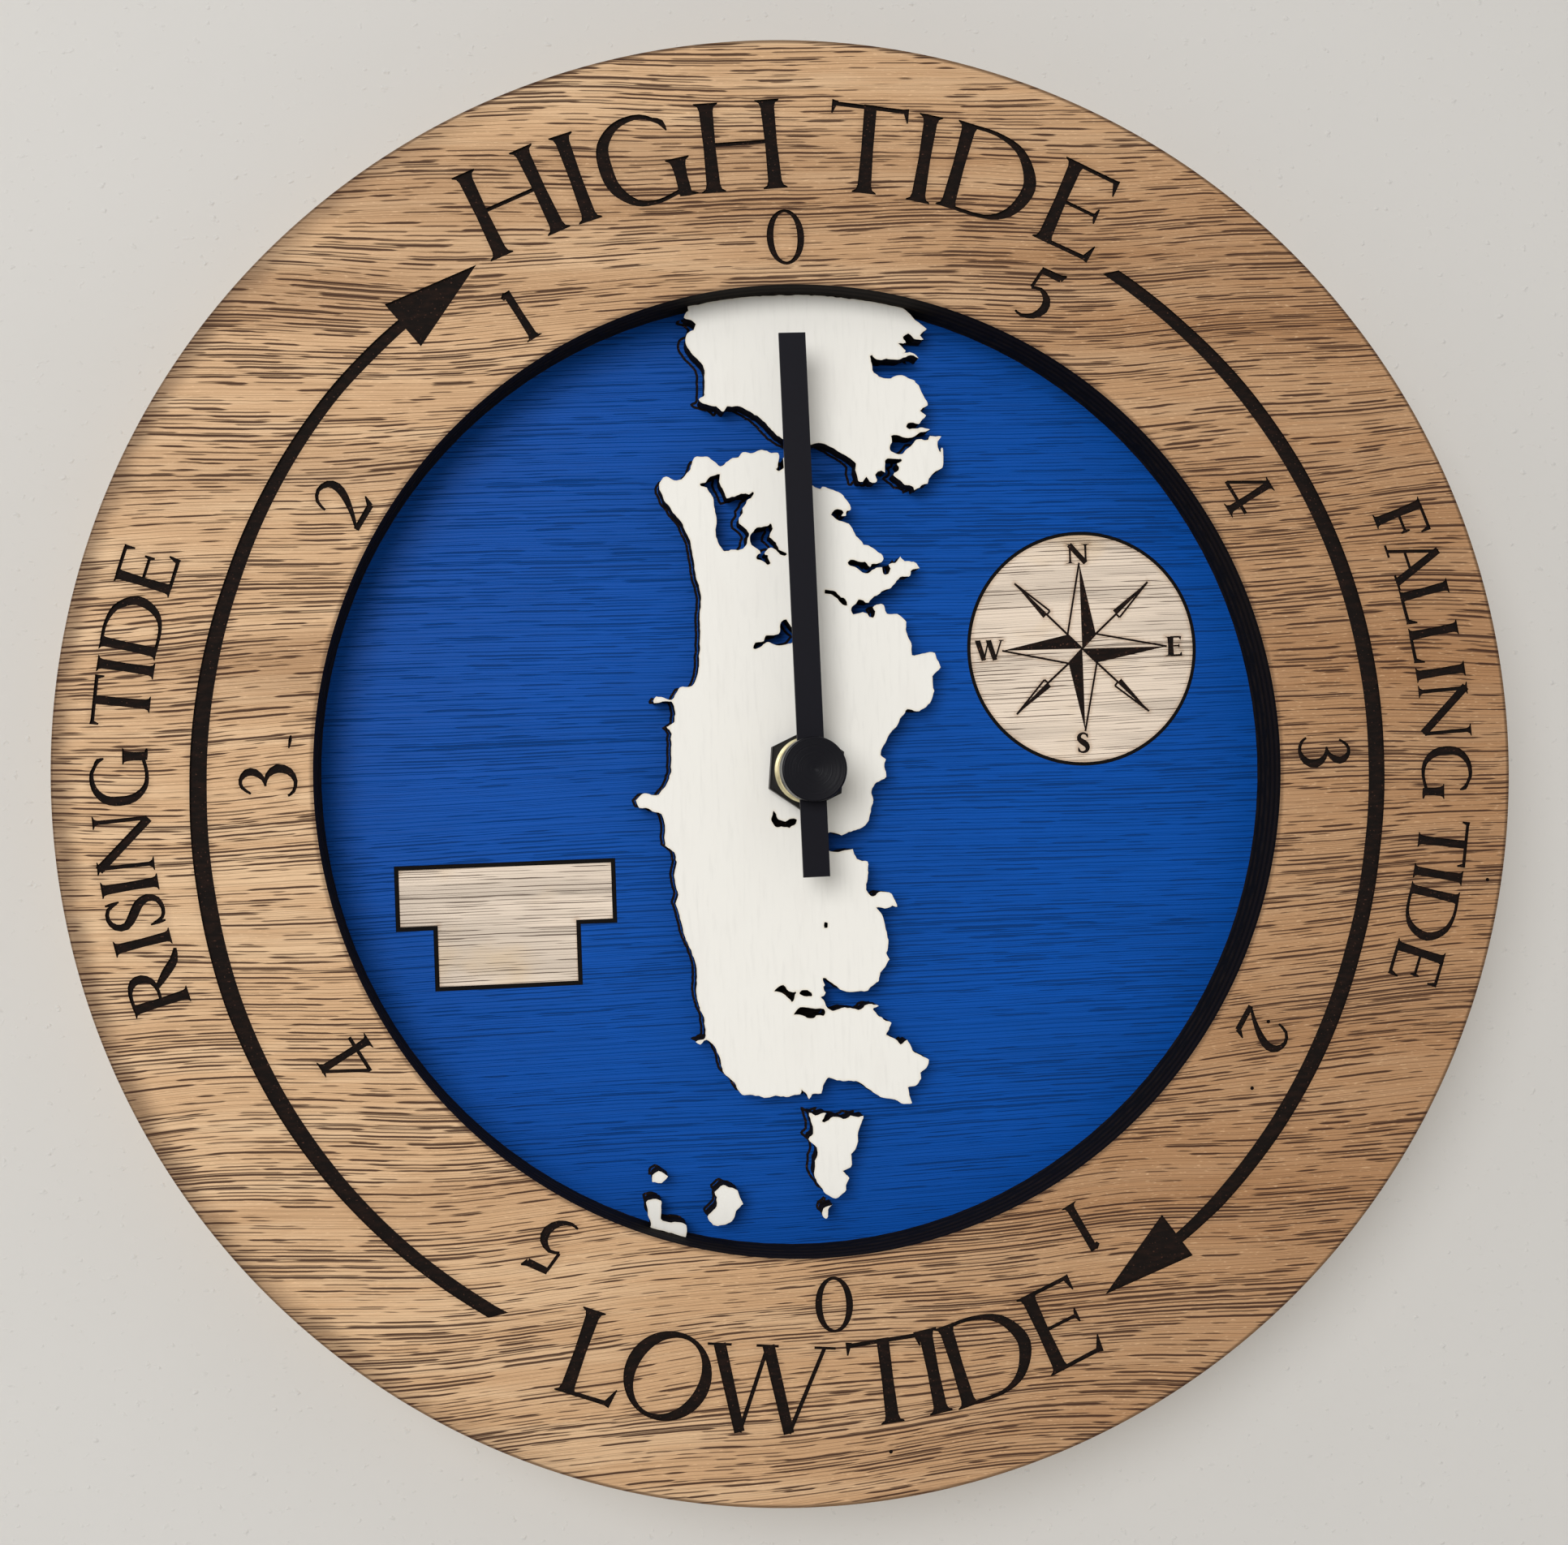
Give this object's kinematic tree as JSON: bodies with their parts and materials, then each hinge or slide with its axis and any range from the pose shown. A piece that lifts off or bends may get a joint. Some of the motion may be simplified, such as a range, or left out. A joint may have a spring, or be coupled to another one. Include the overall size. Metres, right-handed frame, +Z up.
{
  "type": "tide clock",
  "caption": "Round wall tide clock: wooden ring dial around a recessed blue sea with raised land, one hand, quartz movement behind, hung from a plate.",
  "frame": {"origin": "on the hand's axis, on the wall, at the flat back of the movement's cover", "axes": "+Y out of the clock's back, into the wall; +Z up; +X to the right as seen from the front"},
  "size_m": [0.28, 0.042, 0.28],
  "materials": {
    "oak_face": "oak veneer, satin",
    "burnt_wood": "laser-burnt plywood, matte",
    "blue_paint": "blue paint on oak veneer, satin",
    "white_paint": "off-white paint on plywood, matte",
    "pale_oak": "pale oak veneer, satin",
    "black_metal": "black lacquer, satin",
    "black_nut": "blackened steel, satin",
    "brass": "turned brass",
    "black_plastic": "moulded, fine texture",
    "rubber": "matte",
    "steel": "plated sheet",
    "white_gear": "moulded acetal",
    "magnet": "dark sintered magnet",
    "copper_wire": "enamelled copper winding",
    "board_green": "glass-epoxy board",
    "cell_wrap": "plain printed wrap"
  },
  "bodies": {
    "case": {"front_ring": "oak_face", "spacer_ring": "burnt_wood", "dial_disc": "blue_paint", "compass_disc": "pale_oak", "name_plaque": "pale_oak", "land_north": "white_paint", "land_main": "white_paint", "land_south": "white_paint", "small_islands": "white_paint", "threaded_bush": "brass", "rubber_washer": "rubber", "centre_nut": "black_nut", "brass_collar": "brass", "stator_plate": "steel", "coil_core": "steel", "coil_bobbin": "white_gear", "coil_winding": "copper_wire", "train_plate": "white_gear", "train_screws": "steel", "movement_housing": "black_plastic", "rear_cover": "black_plastic", "battery_cell": "cell_wrap", "positive_contact": "steel", "negative_contact": "steel", "circuit_board": "board_green", "clock_chip": "black_plastic", "crystal_can": "steel", "hanger_plate": "steel"},
    "hand": {"tide_hand": "black_metal", "hand_bush": "brass", "hand_cap": "black_metal", "tide_wheel": "white_gear"},
    "setter": {"set_arbor": "steel", "set_knob": "black_plastic"},
    "minute_idler": {"minute_wheel": "white_gear"},
    "second": {"second_wheel": "white_gear"},
    "motor_rotor": {"rotor": "magnet"},
    "third": {"third_wheel": "white_gear"},
    "centre": {"centre_wheel": "white_gear"}
  },
  "joints": [
    {"name": "hand_spin", "type": "hinge", "parent": "case", "child": "hand", "pos_m": [0, -0.01, 0], "axis": [0, 1, 0], "continuous": true},
    {"name": "set_spin", "type": "hinge", "parent": "case", "child": "setter", "pos_m": [0, -0.01, 0], "axis": [0, 1, 0], "continuous": true},
    {"name": "minute_spin", "type": "hinge", "parent": "case", "child": "minute_idler", "pos_m": [-0.00866, -0.01, 0.005], "axis": [0, 1, 0], "continuous": true},
    {"name": "second_spin", "type": "hinge", "parent": "case", "child": "second", "pos_m": [0.01011, -0.01, 0.0117], "axis": [0, 1, 0], "continuous": true},
    {"name": "rotor_spin", "type": "hinge", "parent": "case", "child": "motor_rotor", "pos_m": [0.00422, -0.01, 0.0151], "axis": [0, 1, 0], "continuous": true},
    {"name": "third_spin", "type": "hinge", "parent": "case", "child": "third", "pos_m": [0.00651, -0.01, 0.00546], "axis": [0, 1, 0], "continuous": true},
    {"name": "centre_spin", "type": "hinge", "parent": "case", "child": "centre", "pos_m": [0, -0.01, 0], "axis": [0, 1, 0], "continuous": true}
  ],
  "couplings": [
    {"joint": "set_spin", "follows": "hand_spin", "ratio": 12},
    {"joint": "minute_spin", "follows": "hand_spin", "ratio": -4},
    {"joint": "rotor_spin", "follows": "second_spin", "ratio": -7.5},
    {"joint": "third_spin", "follows": "second_spin", "ratio": -0.125},
    {"joint": "centre_spin", "follows": "second_spin", "ratio": 0.016667}
  ]
}
